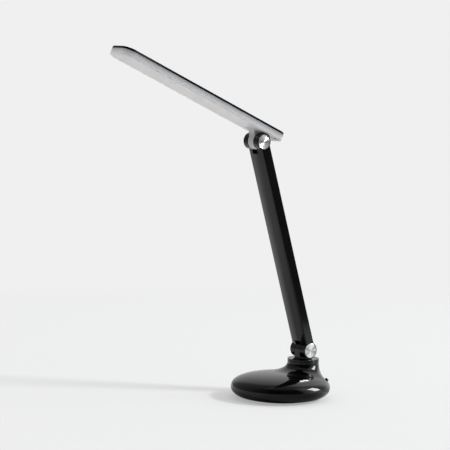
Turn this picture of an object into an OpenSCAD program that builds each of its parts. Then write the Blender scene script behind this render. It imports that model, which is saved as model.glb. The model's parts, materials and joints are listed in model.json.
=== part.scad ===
// Folding desk lamp with a weighted round base, a swivelling neck, a folding arm and a flat head.
// The base stands on z = 0 with its centre at the origin, the hinges turn about X, and the head
// reaches towards -Y. It is drawn in its working pose.

/* [Base] */
// Radius of the base at its waist
base_r = 67.5; // [64:0.5:72]
// Height of the waist, where the base is widest
waist_z = 15; // [14:0.5:17]
// Height of the dome
dome_z = 35; // [33:0.5:38]
// Squareness of the dome's shoulder
dome_power = 2.5; // [2.2:0.1:2.8]
// Radius of the shell's lower edge
rim_r = 46; // [45:0.5:48]
// Wall of the base shell
base_wall = 2.5; // [2:0.1:3]
// Thickness of the foot pad
pad_t = 1.5; // [1:0.1:2]
// Thickness of the bottom plate
plate_t = 2; // [1.6:0.1:2.4]
// Thickness of the steel ballast
ballast_t = 11.5; // [9:0.5:12]
// Radius of the circle that the base screws stand on
base_screw_ring = 37.5; // [37:0.5:38]

/* [Neck] */
// Distance of the neck's axis behind the centre of the base
neck_y = 39.3; // [37:0.1:40]
// Radius of the neck
neck_r = 21.6; // [21:0.1:22]
// Height of the collar's flat top
collar_z = 51.5; // [50:0.5:54]
// Thickness of the turntable's rim
collar_t = 2.8; // [2.4:0.1:3.2]
// Height of the straight wall below the turntable
neck_wall_h = 2.7; // [2:0.1:4]
// Width of the flare from the neck to the dome
flare_w = 22; // [18:0.5:24]
// Radius of the turntable's spigot
spigot_r = 9; // [8.5:0.1:9.5]
// Radius of the wire hole in the spigot
spigot_hole_r = 5; // [4.5:0.1:6]

/* [Hinges] */
// Radius of the arm's barrels and of the tongues between them
barrel_r = 11.1; // [10.6:0.1:11.6]
// Thickness of the tongues
tongue_w = 11.1; // [10:0.1:11.6]
// Clearance at each side of a tongue
side_gap = 0.25; // [0.2:0.05:0.35]
// Radius of the hinge pins
pin_r = 3; // [2.6:0.1:3.2]
// Radius of the pin's head
pin_head_r = 5; // [4.6:0.1:5.2]
// Width across the flats of the pin's nut
nut_af = 8; // [7.4:0.1:8.4]
// Radius of the friction washers
washer_r = 7.5; // [6.5:0.1:8]
// Thickness of the friction washers
washer_t = 0.8; // [0.7:0.05:1]
// Radius of the silver disc caps
disc_r = 9.75; // [9.5:0.05:10]
// Thickness of the disc caps
disc_t = 1.8; // [1.6:0.1:2]
// How far a disc cap stands proud of its barrel
disc_proud = 0.3; // [0.2:0.05:0.5]
// Clearance between the barrels and the collar's top
collar_gap = 0.9; // [0.7:0.1:1.2]

/* [Arm] */
// Distance between the two hinge axes
arm_len = 300; // [298:1:320]
// Width of the arm
arm_w = 30.6; // [30:0.1:32]
// Thickness of the arm
arm_t = 15.5; // [14.6:0.1:16.4]
// Bow of the arm's front across its width
arm_crown = 2; // [1.5:0.1:2.4]
// How far the arm's middle sits behind the hinge axes
arm_set = 0.7; // [0.3:0.1:1]
// Radius of the arm's front edges
arm_edge_r = 2.5; // [1.5:0.1:3]
// Radius of the arm's back edges
arm_back_r = 1.2; // [0.8:0.1:1.5]
// Wall of the arm
arm_wall = 2; // [1.8:0.1:2.2]
// Thickness of the arm's back cover
arm_cover_t = 1.8; // [1.6:0.1:2.2]
// How far the fork's slot reaches past a tongue
slot_reach = 4.2; // [3.5:0.1:5]
// Lean of the arm from upright
arm_lean = 17; // [5:1:30]
// Width of the steel stiffener
stiffener_w = 12; // [10:0.5:13]
// Thickness of the steel stiffener
stiffener_t = 1.5; // [1:0.1:2]

/* [Head] */
// Length of the head
head_len = 283.5; // [276:0.5:290]
// Width of the head
head_w = 44; // [43:0.2:48]
// Height of the pale shell's side wall
shell_h = 8.2; // [7.6:0.1:9]
// Height of the black top cover
cover_h = 2.9; // [2.6:0.1:3.6]
// Radius of the head's corners, seen from above
head_corner_r = 14; // [10:0.5:16]
// Rounding of the pale shell's lower edge
head_edge_r = 1; // [0.6:0.1:1.6]
// How far the head reaches behind its hinge
head_rear = 28; // [27:0.5:31]
// Clearance between the barrels and the head's underside
head_gap = 0.5; // [0.4:0.1:1]
// Wall of the head's shells
head_wall = 1.6; // [1.4:0.1:1.8]
// Rise of the head's front end from level
head_tilt = 24; // [0:1:40]
// Reach of the tongue's flare along the head
flare_front = 12; // [10:0.5:13]
// Reach of the tongue's flare across the head
flare_side = 14; // [11:0.5:15]
// Number of LEDs in each of the two rows
leds_per_row = 20; // [12:1:22]

/* [Switch and inlet] */
// Direction of the push button on the base, from +X towards the back
button_angle = 60; // [50:1:66]
// Distance of the push button from the centre of the base
button_rho = 63.5; // [61:0.5:64]
// Radius of the push button
button_r = 2.5; // [2.2:0.1:3]
// Travel of the push button
button_travel = 0.8; // [0.5:0.1:1]
// How far the push button stands out
button_proud = 2.2; // [1.8:0.1:2.8]
// Height of the power inlet's axis
inlet_z = 17; // [16:0.5:18]
// Radius of the power inlet's socket
inlet_r = 2.8; // [2.6:0.1:3]
// Radius of the recess round the inlet
recess_r = 7; // [6.8:0.1:7.5]

/* [Hidden] */

$fn = 96;
run_gap = 0.06;     // radial clearance of a running fit
seat_gap = 0.15;    // clearance round a piece that drops into its seat
face_gap = 0.1;     // running clearance between flat faces
past = 1;           // how far a cut runs past the face that it opens
lead_r = 1.3;       // radius of the two-core leads

black = [0.05, 0.05, 0.055];
steel = [0.72, 0.73, 0.75];
pale = [0.86, 0.87, 0.88];
rubber = [0.12, 0.12, 0.12];

// Base, from the table up
plate_z = pad_t;
ballast_z = plate_z + plate_t;
ballast_top = ballast_z + ballast_t;
plate_r = rim_r - base_wall;
ballast_r = plate_r - 2.3;
boss_r = 4;
boss_shoulder_r = 6.5;
base_screw_angles = [30, 150, 270];
base_screw_head_r = 3;
base_screw_head_t = 1.4;
pilot_h = 10;       // depth of the base screws' pilot holes

// Neck and turntable
neck_top = collar_z - collar_t - face_gap;
flare_limit = 0.75; // largest share of the way from the neck to the waist that the flare takes
collar_edge = 0.4;
flare_top = neck_top - neck_wall_h;
washer_seat_r = neck_r - 4.6;
flange_top = neck_top - 2.5;
flange_t = 3;
swivel_washer_t = 1.5;
hub_z = flange_top + swivel_washer_t + face_gap;
spring_washer_t = 0.6;
swivel_nut_t = 4;
swivel_nut_r = 12.5;
nut_top = flange_top - flange_t - face_gap - spring_washer_t;
spigot_z = nut_top - swivel_nut_t - 1;
pivot_z = collar_z + collar_gap + barrel_r;
lead_hole_r = 1.8;
lead_hole_y = 6.4;

// Hinges and arm
fork_x = tongue_w / 2 + side_gap;
slot_end = barrel_r + slot_reach;
disc_seat = disc_t - disc_proud;
head_seat_t = 3.2;
washer_seat = washer_t + face_gap - side_gap;
barrel_edge = 0.4;
arm_half = arm_w / 2;
cover_z = slot_end + 3;
cover_w = arm_w - 2 * arm_back_r - 1;
cavity_w = arm_w - 2 * arm_wall - 4;
cavity_front = -arm_t / 2 + arm_wall + arm_crown / 2;
crown_r = (pow(arm_half, 2) + pow(arm_crown, 2)) / (2 * arm_crown);
arm_screw_z = 8;
arm_post_r = 3;
lead_x = arm_post_r + lead_r + 0.1;
lead_y = cavity_front + lead_r + 0.1;
stiffener_x = -cavity_w / 2 + face_gap + stiffener_w / 2;
screw_r = 1.25;
arm_screw_head_r = 2.4;
arm_screw_head_t = 1;

// Head
underside_z = barrel_r + head_gap;
arm_clear = arm_t / 2 + arm_set + 0.4;  // the flare stays this far from the hinge axis
cover_base_z = underside_z + shell_h;
head_mid_y = head_rear - head_len / 2;
diffuser_t = 0.8;
diffuser_z = underside_z + head_wall + 0.8;
board_t = 1;
board_z = cover_base_z - board_t - 0.3;
led_h = 0.9;
led_w = 2.8;
lip_h = 1.2;
lip_t = 1.2;
led_board_w = head_w - 2 * (head_wall + lip_t + 1);
lit_rear = -26;
lit_front = head_rear - head_len + 10;
lit_len = lit_rear - lit_front;
head_lead_z = board_z - lead_r - 0.1;
board_post_x = 15;
board_post_r = 2.2;
head_screw_x = 12.4;
head_screw_y = 17.9;
head_screw_r = 1.4;
head_screw_head_r = 2.7;
head_screw_head_t = 1.4;
head_screw_z = underside_z + 3;
head_bore_r = 3.2;
board_screw_r = 0.9;
led_screw_head_r = 1.7;
led_screw_head_t = 0.8;

// Control board
board_w = 36;
board_d = 28;
board_y = -6;
pcb_t = 1.6;
pcb_z = ballast_top + 6;
board_boss_r = 2.6;
board_screw_head_r = 1.9;
board_screw_head_t = 1;

// Inlet: a panel socket behind a round recess
inlet_y = base_r - 5.5;
jack_r = 5.4;
jack_flange_r = 6.4;
jack_len = 12;
inlet_boss_r = recess_r + 2;
inlet_boss_t = 4;
jack_nut_t = 2.5;
jack_nut_r = 8;
contact_r = 1;

// Push button, its guide and the switch at the guide's inner end
guide_r = 6.2;
guide_len = 9.5;
guide_pocket_r = 4.4;
guide_wall = 3;
button_flange_t = 1;
button_edge = 0.5;
switch_board_t = 1.2;
switch_w = 6;
switch_h = 3.4;
plunger_r = 1.7;
plunger_h = guide_len - guide_wall - button_flange_t - switch_h - button_travel - face_gap;
slope_step = 0.5;
button_slope = atan((dome_h(button_rho - slope_step) - dome_h(button_rho + slope_step))
    / (2 * slope_step));

// Routes of the leads in the base: inlet to board, board to neck, and switch to board
plug_z = pcb_z + pcb_t + 2.2;
socket_y = inlet_y - jack_len;
power_route = [[0, socket_y, inlet_z], [0, socket_y - 3, inlet_z], [-4, 40, 20], [-14, 26, plug_z + 2],
    [-20, 8, plug_z + 2], [-19, board_y + 1, plug_z + 1], [-17, board_y, plug_z], [-15, board_y, plug_z]];
light_route = [[15, board_y, plug_z], [17, board_y, plug_z], [19, board_y + 1, plug_z], [20, 8, plug_z],
    [14, 26, plug_z], [6, 34, plug_z], [1, neck_y - 1.5, plug_z + 1.5], [0, neck_y, plug_z + 4],
    [0, neck_y, spigot_z - 0.5]];
switch_route = [[24.5, 49.5, 15.2], [23, 46, 15.6], [22.5, 40, 18], [22, 30, 22.5], [22, 8, 24],
    [21.5, -4, 23.8], [19, -8, 23.8], [17, -9, 23.8], [15.1, -9, 23.8]];
switch_lead_r = 0.8;

// ---- Shapes shared by the parts ----

// Solid through a list of rings that have the same number of points, from the top ring down,
// each running anticlockwise as seen from above
module skin(rings) {
    n = len(rings[0]);
    last = (len(rings) - 1) * n;
    polyhedron(
        points = [for (ring = rings) each ring],
        faces = concat(
            [[for (j = [n - 1:-1:0]) j], [for (j = [0:n - 1]) last + j]],
            [for (i = [0:len(rings) - 2], j = [0:n - 1]) let (k = (j + 1) % n)
                [i * n + j, i * n + k, (i + 1) * n + k]],
            [for (i = [0:len(rings) - 2], j = [0:n - 1]) let (k = (j + 1) % n)
                [i * n + j, (i + 1) * n + k, (i + 1) * n + j]]
        ),
        convexity = 8
    );
}

// Ring of a rectangle with round corners, from y0 to y1 and a wide each side of x = 0
function round_ring(a, y0, y1, r, z, steps = 6) = [
    for (c = [[a - r, y1 - r, 0], [r - a, y1 - r, 90], [r - a, y0 + r, 180], [a - r, y0 + r, 270]],
         i = [0:steps])
        [c[0] + r * cos(c[2] + 90 * i / steps), c[1] + r * sin(c[2] + 90 * i / steps), z]
];

// Rectangle with round corners, centred, drawn from true circles
module round_rect(w, h, r) {
    square([w - 2 * r, h], center = true);
    square([w, h - 2 * r], center = true);
    for (x = [-1, 1], y = [-1, 1])
        translate([x * (w / 2 - r), y * (h / 2 - r)]) circle(r);
}

// Cylinder along X, centred
module x_rod(r, w) {
    rotate([0, 90, 0]) cylinder(r = r, h = w, center = true);
}

// Countersunk screw standing on its head, from z = 0 up
module screw(r, head_r, head_t, len) {
    difference() {
        union() {
            cylinder(r = head_r, h = head_t);
            cylinder(r = r, h = len);
        }
        cross_r = head_r * 0.5;
        for (a = [0, 90])
            rotate(a) translate([-cross_r, -0.35, -past]) cube([2 * cross_r, 0.7, past + head_t * 0.6]);
    }
}

// Flat ring
module ring(outer, inner, h) {
    difference() {
        cylinder(r = outer, h = h);
        translate([0, 0, -past]) cylinder(r = inner, h = h + 2 * past);
    }
}

// Round lead along a list of points; up is any direction that the lead never takes
module lead(path, up = [1, 0, 0], r = lead_r) {
    last = len(path) - 1;
    skin([for (i = [0:last])
        let (d = path[min(i + 1, last)] - path[max(i - 1, 0)],
             u = cross(d, up) / norm(cross(d, up)),
             v = cross(u, d) / norm(d))
        [for (a = [0:45:315]) path[i] + r * (cos(a) * u + sin(a) * v)]]);
}

// ---- Places ----

module at_neck() {
    translate([0, neck_y, 0]) children();
}

// Arm frame: origin on the lower hinge axis, +Z towards the upper hinge, -Y the arm's front
module at_arm() {
    translate([0, neck_y, pivot_z]) rotate([arm_lean, 0, 0]) children();
}

// Frame of the arm's box, which sits a little behind the hinge axes
module at_arm_box() {
    at_arm() translate([0, arm_set, 0]) children();
}

module at_arm_top() {
    at_arm() translate([0, 0, arm_len]) children();
}

// Head frame: origin on the upper hinge axis, -Y along the head, +Z out of its top
module at_head() {
    translate([0, neck_y - arm_len * sin(arm_lean), pivot_z + arm_len * cos(arm_lean)])
        rotate([-head_tilt, 0, 0]) children();
}

// Button frame: origin on the shell's outer face, +Z out along the push button's axis
module at_button() {
    rotate([0, 0, button_angle]) translate([button_rho, 0, dome_h(button_rho)])
        rotate([0, button_slope, 0]) children();
}

// Inlet frame: origin at the recess's floor, +Z out of the back of the base
module at_inlet() {
    translate([0, inlet_y, inlet_z]) rotate([-90, 0, 0]) children();
}

// ---- Base shell ----

// Height of the dome at a distance from the centre of the base
function dome_h(rho) = waist_z + (dome_z - waist_z)
    * pow(1 - pow(min(1, rho / base_r), dome_power), 1 / dome_power);

// Distance from the neck's axis to the waist in a direction
function reach(phi) = sqrt(pow(base_r, 2) - pow(neck_y * cos(phi), 2)) - neck_y * sin(phi);

// Share of the flare's height that is left at u, from 1 at the neck to 0 at the flare's foot
function flare_share(u) = u < 1 ? 1 - sqrt(1 - pow(1 - u, 2)) : 0;

// Point of the upper skin in a direction from the neck's axis, t from 0 at the neck to 1 at the waist
function dome_point(phi, t) =
    let (far = reach(phi) - neck_r,
         d = far * (1 - cos(180 * t)) / 2,
         x = (neck_r + d) * cos(phi),
         y = neck_y + (neck_r + d) * sin(phi),
         z = dome_h(norm([x, y])))
    [x, y, z + (flare_top - z) * flare_share(d / min(flare_w, flare_limit * far))];

// Point of the lower skin, turn from 0 at the waist to 90 at the lower edge
function side_point(phi, turn) =
    let (r = rim_r + (base_r - rim_r) * cos(turn))
    [reach(phi) * cos(phi) * r / base_r,
     (neck_y + reach(phi) * sin(phi)) * r / base_r,
     waist_z - (waist_z - pad_t) * sin(turn)];

module base_form(sides = 60, upper = 18, lower = 7) {
    turns = [for (j = [0:sides - 1]) 360 * j / sides];
    skin(concat(
        [[for (phi = turns) [neck_r * cos(phi), neck_y + neck_r * sin(phi), neck_top]]],
        [for (i = [0:upper]) [for (phi = turns) dome_point(phi, i / upper)]],
        [for (i = [1:lower]) [for (phi = turns) side_point(phi, 90 * i / lower)]]
    ));
}

// Inside of the base: the same form, one wall further in
module base_cavity(steps = 12) {
    inner_r = base_r - base_wall;
    rotate_extrude() polygon(concat(
        [[0, 0], [plate_r + seat_gap, 0], [plate_r + seat_gap, plate_z + base_wall]],
        [for (i = [0:6]) let (a = 90 - 15 * i)
            [rim_r + (inner_r - rim_r) * cos(a), waist_z - (waist_z - pad_t - base_wall) * sin(a)]],
        [for (i = [1:steps]) let (a = 90 * i / steps)
            [inner_r * cos(a), waist_z + (dome_z - base_wall - waist_z)
                * pow(1 - pow(cos(a), dome_power), 1 / dome_power)]]
    ));
    at_neck() translate([0, 0, waist_z])
        cylinder(r = neck_r - base_wall, h = flange_top - flange_t - waist_z);
}

// Posts that hang from the dome: three for the base screws and four for the control board
module base_posts() {
    at_base_screws() {
        translate([0, 0, ballast_z]) cylinder(r = boss_r, h = dome_z);
        translate([0, 0, ballast_top + seat_gap]) cylinder(r = boss_shoulder_r, h = dome_z);
    }
    at_board_corners() translate([0, 0, pcb_z + pcb_t]) cylinder(r = board_boss_r, h = dome_z);
}

module at_board_corners() {
    for (x = [-1, 1], y = [-1, 1])
        translate([x * (board_w / 2 - 3.5), board_y + y * (board_d / 2 - 3.5), 0]) children();
}

module at_base_screws() {
    for (a = base_screw_angles) rotate(a) translate([base_screw_ring, 0, 0]) children();
}

module base_shell() {
    color(black) difference() {
        base_form();
        difference() {
            base_cavity();
            base_posts();
            at_button() translate([0, 0, -guide_len]) cylinder(r = guide_r, h = guide_len);
            at_inlet() translate([0, 0, -inlet_boss_t]) cylinder(r = inlet_boss_r, h = inlet_boss_t + 5);
        }
        // Washer seat and spigot bore in the neck
        at_neck() translate([0, 0, flange_top]) cylinder(r = washer_seat_r, h = neck_top);
        at_neck() translate([0, 0, waist_z]) cylinder(r = spigot_r + run_gap, h = collar_z);
        // Button bore, its pocket, and the pilot holes for the screws
        at_button() translate([0, 0, -guide_wall - past]) cylinder(r = button_r + run_gap, h = 20);
        at_button() translate([0, 0, -guide_len - past])
            cylinder(r = guide_pocket_r, h = guide_len - guide_wall + past);
        at_base_screws() translate([0, 0, ballast_z - past]) cylinder(r = screw_r, h = pilot_h + past);
        at_board_corners() translate([0, 0, pcb_z]) cylinder(r = board_screw_r, h = pcb_t + 4);
        // Inlet recess and the hole for the socket
        at_inlet() cylinder(r = recess_r, h = 20);
        at_inlet() translate([0, 0, -inlet_boss_t - past]) cylinder(r = jack_r + seat_gap, h = 20);
    }
}

// ---- Pieces of the base ----

module foot_pad() {
    color(rubber) difference() {
        cylinder(r = plate_r - 0.5, h = pad_t);
        at_base_screws() translate([0, 0, -past])
            cylinder(r = base_screw_head_r + 1.4, h = pad_t + 2 * past);
    }
}

module base_plate() {
    rib_t = 1.5;
    rib_h = 3;
    color(black) difference() {
        union() {
            translate([0, 0, plate_z]) cylinder(r = plate_r, h = plate_t);
            // Ring rib that the ballast drops into
            translate([0, 0, ballast_z]) ring(ballast_r + seat_gap + rib_t, ballast_r + seat_gap, rib_h);
        }
        at_base_screws() translate([0, 0, plate_z - past]) {
            cylinder(r = screw_r + 0.2, h = plate_t + 2 * past);
            cylinder(r = base_screw_head_r + seat_gap, h = base_screw_head_t + past);
        }
        at_base_screws() translate([0, 0, ballast_z]) cylinder(r = boss_r + seat_gap, h = rib_h + past);
    }
}

module ballast() {
    color(steel) difference() {
        translate([0, 0, ballast_z]) cylinder(r = ballast_r, h = ballast_t);
        at_base_screws() translate([0, 0, ballast_z - past])
            cylinder(r = boss_r + 0.5, h = ballast_t + 2 * past);
    }
}

module base_screws() {
    color(steel) at_base_screws() translate([0, 0, plate_z])
        screw(screw_r - 0.02, base_screw_head_r, base_screw_head_t, pilot_h);
}

module control_board() {
    color("darkgreen") difference() {
        translate([-board_w / 2, board_y - board_d / 2, pcb_z]) cube([board_w, board_d, pcb_t]);
        at_board_corners() translate([0, 0, pcb_z - past]) cylinder(r = 1.2, h = pcb_t + 2 * past);
    }
    // Capacitor, inductor, driver chip and the two lead connectors
    color("dimgray") translate([0, board_y, pcb_z + pcb_t]) {
        translate([-6, -3, 0]) cylinder(r = 3, h = 5.5);
        translate([3, -4, 0]) cube([6, 6, 3.2]);
        translate([-4, 5, 0]) cube([6, 4, 1.4]);
        translate([-15, -4, 0]) cube([4, 7.5, 4.5]);
        translate([11, -4, 0]) cube([4, 7.5, 4.5]);
    }
}

module board_screws() {
    color(steel) at_board_corners() translate([0, 0, pcb_z - board_screw_head_t])
        screw(board_screw_r - 0.02, board_screw_head_r, board_screw_head_t, 5);
}

// Panel socket with its contact pin
module dc_jack() {
    socket_depth = 9;
    flange_t = 1;
    color(rubber) at_inlet() difference() {
        union() {
            translate([0, 0, -jack_len]) cylinder(r = jack_r, h = jack_len);
            cylinder(r = jack_flange_r, h = flange_t);
        }
        translate([0, 0, -socket_depth]) difference() {
            cylinder(r = inlet_r, h = socket_depth + flange_t + past);
            cylinder(r = contact_r, h = socket_depth);
        }
    }
}

module jack_nut() {
    color(steel) at_inlet() translate([0, 0, -inlet_boss_t - jack_nut_t]) difference() {
        cylinder(r = jack_nut_r, h = jack_nut_t, $fn = 6);
        translate([0, 0, -past]) cylinder(r = jack_r + 0.03, h = jack_nut_t + 2 * past);
    }
}

// The push switch sits in the inner end of the button's guide, on a round board that closes it
module push_switch() {
    color("dimgray") at_button() translate([0, 0, -guide_len]) {
        translate([-switch_w / 2, -switch_w / 2, 0]) cube([switch_w, switch_w, switch_h]);
        cylinder(r = plunger_r, h = switch_h + plunger_h);
        translate([0, 0, -switch_board_t]) cylinder(r = guide_r, h = switch_board_t);
    }
}

module power_button() {
    color(black) at_button() {
        translate([0, 0, -guide_wall]) cylinder(r = button_r, h = guide_wall + button_proud - button_edge);
        translate([0, 0, button_proud - button_edge])
            cylinder(r1 = button_r, r2 = button_r - button_edge, h = button_edge);
        translate([0, 0, -guide_wall - button_flange_t])
            cylinder(r = guide_pocket_r - 0.3, h = button_flange_t);
    }
}

module base_leads() {
    color("firebrick") lead(power_route, [0.3, 0, 1]);
    color("firebrick") lead(light_route, [0.6, 0.8, 0]);
    color("firebrick") lead(switch_route, [0.3, 0, 1], switch_lead_r);
}

module swivel_washer() {
    color("white") at_neck() translate([0, 0, flange_top])
        ring(washer_seat_r - seat_gap, spigot_r + run_gap + 0.4, swivel_washer_t);
}

// ---- Turntable ----

// Tongue between two barrels: round about the pin, and straight down to depth
module tongue(depth) {
    x_rod(barrel_r, tongue_w);
    translate([-tongue_w / 2, -barrel_r, -depth]) cube([tongue_w, 2 * barrel_r, depth]);
}

module turntable() {
    color(black) difference() {
        at_neck() {
            translate([0, 0, collar_z - collar_t]) cylinder(r = neck_r, h = collar_t - collar_edge);
            translate([0, 0, collar_z - collar_edge])
                cylinder(r1 = neck_r, r2 = neck_r - collar_edge, h = collar_edge);
            translate([0, 0, hub_z]) cylinder(r = washer_seat_r - 0.4, h = collar_z - collar_t - hub_z);
            translate([0, 0, spigot_z]) cylinder(r = spigot_r, h = hub_z - spigot_z);
            translate([0, 0, pivot_z]) tongue(pivot_z - collar_z);
        }
        at_neck() {
            translate([0, 0, spigot_z - past])
                cylinder(r = spigot_hole_r, h = collar_z - 2 - spigot_z + past);
            // Lead hole past the pin, out at the top of the tongue
            translate([0, lead_hole_y, collar_z - 6]) cylinder(r = lead_hole_r, h = 40);
            translate([0, 0, collar_z - 6]) translate([-lead_hole_r, 0, 0])
                cube([2 * lead_hole_r, lead_hole_y, 4]);
            translate([0, 0, pivot_z]) x_rod(pin_r + run_gap, tongue_w + 2 * past);
        }
    }
}

module swivel_spring_washer() {
    color(steel) at_neck() translate([0, 0, nut_top])
        ring(swivel_nut_r - 0.5, spigot_r + 0.1, spring_washer_t);
}

module swivel_nut() {
    color(steel) at_neck() translate([0, 0, nut_top - swivel_nut_t]) difference() {
        cylinder(r = swivel_nut_r, h = swivel_nut_t, $fn = 6);
        translate([0, 0, -past]) cylinder(r = spigot_r + 0.03, h = swivel_nut_t + 2 * past);
    }
}

// Up the spigot and through the tongue to the slot in the arm
module neck_lead() {
    color("firebrick") at_neck() lead([
        [0, 0, spigot_z], [0, 0, collar_z - 9], [0, 1.2, collar_z - 6.4],
        [0, lead_hole_y - 1.2, collar_z - 4.6], [0, lead_hole_y, collar_z - 2.4],
        [0, lead_hole_y, pivot_z + 8]
    ]);
}

// ---- Arm ----

// What both ends of the arm share: slot, pin bore, seats for washers, pin head, nut and discs.
// Drawn round a hinge axis with the arm's body towards +Z
module fork_cut() {
    translate([-fork_x, -barrel_r - past, -barrel_r - past])
        cube([2 * fork_x, 2 * (barrel_r + past), slot_end + barrel_r + past]);
    x_rod(pin_r + 0.02, arm_w + 2 * past);
    x_rod(washer_r + seat_gap, 2 * (fork_x + washer_seat));
    for (s = [-1, 1]) {
        translate([s * arm_half, 0, 0]) x_rod(disc_r + seat_gap, 2 * disc_seat);
        translate([s * (arm_half - disc_seat), 0, 0]) x_rod(pin_head_r + 0.3, 2 * head_seat_t);
    }
}

// Section of the arm: its front bows outwards and runs into round edges, and its back is flat
module arm_section() {
    crown_y = crown_r - arm_t / 2;
    edge_x = arm_half - arm_edge_r;
    edge_y = crown_y - sqrt(pow(crown_r - arm_edge_r, 2) - pow(edge_x, 2));
    crown_x = edge_x * crown_r / (crown_r - arm_edge_r);
    intersection() {
        translate([0, crown_y]) circle(crown_r);
        square([2 * crown_x, arm_t], center = true);
    }
    translate([-arm_half, edge_y]) square([arm_w, arm_t / 4 - edge_y]);
    for (s = [-1, 1]) translate([s * edge_x, edge_y]) circle(arm_edge_r);
    translate([0, arm_t / 4]) round_rect(arm_w, arm_t / 2, arm_back_r);
}

// Barrel across the whole arm, with its rims chamfered
module barrel() {
    x_rod(barrel_r, arm_w - 2 * barrel_edge);
    for (s = [-1, 1]) rotate([0, s * 90, 0]) translate([0, 0, arm_half - barrel_edge])
        cylinder(r1 = barrel_r, r2 = barrel_r - barrel_edge, h = barrel_edge);
}

// Place of the back cover, with clearance at its edges
module arm_cover_form(clear) {
    translate([-cover_w / 2 - clear, arm_t / 2 - arm_cover_t, cover_z - clear])
        cube([cover_w + 2 * clear, arm_cover_t + past, arm_len - 2 * cover_z + 2 * clear]);
}

module at_arm_screws() {
    for (z = [cover_z + arm_screw_z, arm_len - cover_z - arm_screw_z]) translate([0, arm_t / 2, z])
        rotate([90, 0, 0]) children();
}

// Channel for the lead and the stiffener, open to the back, with a post for each screw
module arm_hollow() {
    difference() {
        translate([-cavity_w / 2, cavity_front, slot_end + 1])
            cube([cavity_w, arm_t, arm_len - 2 * slot_end - 2]);
        at_arm_screws() translate([0, 0, arm_cover_t]) cylinder(r = arm_post_r, h = arm_t);
        translate([-arm_half, arm_t / 2 - arm_cover_t, 0]) cube([arm_w, arm_t, cover_z - seat_gap]);
        translate([-arm_half, arm_t / 2 - arm_cover_t, arm_len - cover_z + seat_gap])
            cube([arm_w, arm_t, cover_z]);
    }
    arm_cover_form(seat_gap);
    at_arm_screws() cylinder(r = screw_r, h = arm_t - arm_crown - arm_wall / 2);
    // Mouths that let the lead into the two slots
    for (z = [slot_end - past, arm_len - slot_end - 2])
        translate([lead_x - lead_r - 0.2, cavity_front, z])
            cube([2 * lead_r + 0.4, 2 * lead_r + 0.6, 2 + past + 0.01]);
}

module arm_body() {
    color(black) difference() {
        union() {
            at_arm_box() linear_extrude(arm_len) arm_section();
            at_arm() barrel();
            at_arm_top() barrel();
        }
        at_arm() fork_cut();
        at_arm_top() rotate([180, 0, 0]) fork_cut();
        at_arm_box() arm_hollow();
    }
}

module arm_cover() {
    color(black) at_arm_box() difference() {
        intersection() {
            arm_cover_form(0);
            linear_extrude(arm_len) arm_section();
        }
        at_arm_screws() translate([0, 0, -past]) {
            cylinder(r = screw_r + 0.2, h = arm_t);
            cylinder(r = arm_screw_head_r + 0.2, h = arm_screw_head_t + past);
        }
    }
}

module arm_screws() {
    color(steel) at_arm_box() at_arm_screws() screw(screw_r - 0.02, arm_screw_head_r, arm_screw_head_t, 7);
}

module arm_stiffener() {
    end = cover_z + 2 * arm_screw_z;
    color(steel) at_arm_box() translate([stiffener_x - stiffener_w / 2, cavity_front, end])
        cube([stiffener_w, stiffener_t, arm_len - 2 * end]);
}

module arm_lead() {
    end = slot_end + 0.2;
    color("firebrick") at_arm_box() translate([lead_x, lead_y, end])
        cylinder(r = lead_r, h = arm_len - 2 * end);
}

// ---- Hinge pieces, drawn round a hinge axis ----

module hinge_pin() {
    shank_end = arm_half - disc_seat - 0.3;
    color(steel) {
        x_rod(pin_r, 2 * shank_end);
        translate([-arm_half + disc_seat + 0.3, 0, 0]) rotate([0, 90, 0])
            cylinder(r = pin_head_r, h = head_seat_t - 0.3);
    }
}

module hinge_nut() {
    color(steel) translate([arm_half - disc_seat - head_seat_t, 0, 0]) rotate([0, 90, 0]) difference() {
        cylinder(r = nut_af / 2 / cos(30), h = head_seat_t - 0.3, $fn = 6);
        translate([0, 0, -past]) cylinder(r = pin_r + 0.03, h = head_seat_t + 2 * past);
    }
}

module friction_washers() {
    color("gray") for (s = [-1, 1]) rotate([0, s * 90, 0])
        translate([0, 0, tongue_w / 2 + face_gap]) ring(washer_r, pin_r + 0.1, washer_t);
}

module disc_caps() {
    edge = 0.3;
    color(steel) for (s = [-1, 1]) rotate([0, s * 90, 0]) translate([0, 0, arm_half - disc_seat]) {
        cylinder(r = disc_r, h = disc_t - edge);
        translate([0, 0, disc_t - edge]) cylinder(r1 = disc_r, r2 = disc_r - edge, h = edge);
    }
}

module lower_pin() { at_arm() hinge_pin(); }
module lower_nut() { at_arm() hinge_nut(); }
module lower_friction_washers() { at_arm() friction_washers(); }
module lower_disc_caps() { at_arm() disc_caps(); }
module upper_pin() { at_arm_top() hinge_pin(); }
module upper_nut() { at_arm_top() hinge_nut(); }
module upper_friction_washers() { at_arm_top() friction_washers(); }
module upper_disc_caps() { at_arm_top() disc_caps(); }

// ---- Head ----

// Outline of the head seen from above, inset all round
module head_outline(inset) {
    translate([0, head_mid_y])
        round_rect(head_w - 2 * inset, head_len - 2 * inset, head_corner_r - inset);
}

// Pale shell's outer form, with its lower edge rounded
module shell_form(steps = 5) {
    function edge_ring(inset, z) = round_ring(head_w / 2 - inset, head_rear - head_len + inset,
        head_rear - inset, head_corner_r - inset, z, 8);
    skin(concat(
        [edge_ring(0, cover_base_z)],
        [for (i = [0:steps]) let (a = 90 * i / steps)
            edge_ring(head_edge_r * (1 - cos(a)), underside_z + head_edge_r * (1 - sin(a)))]
    ));
}

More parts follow.
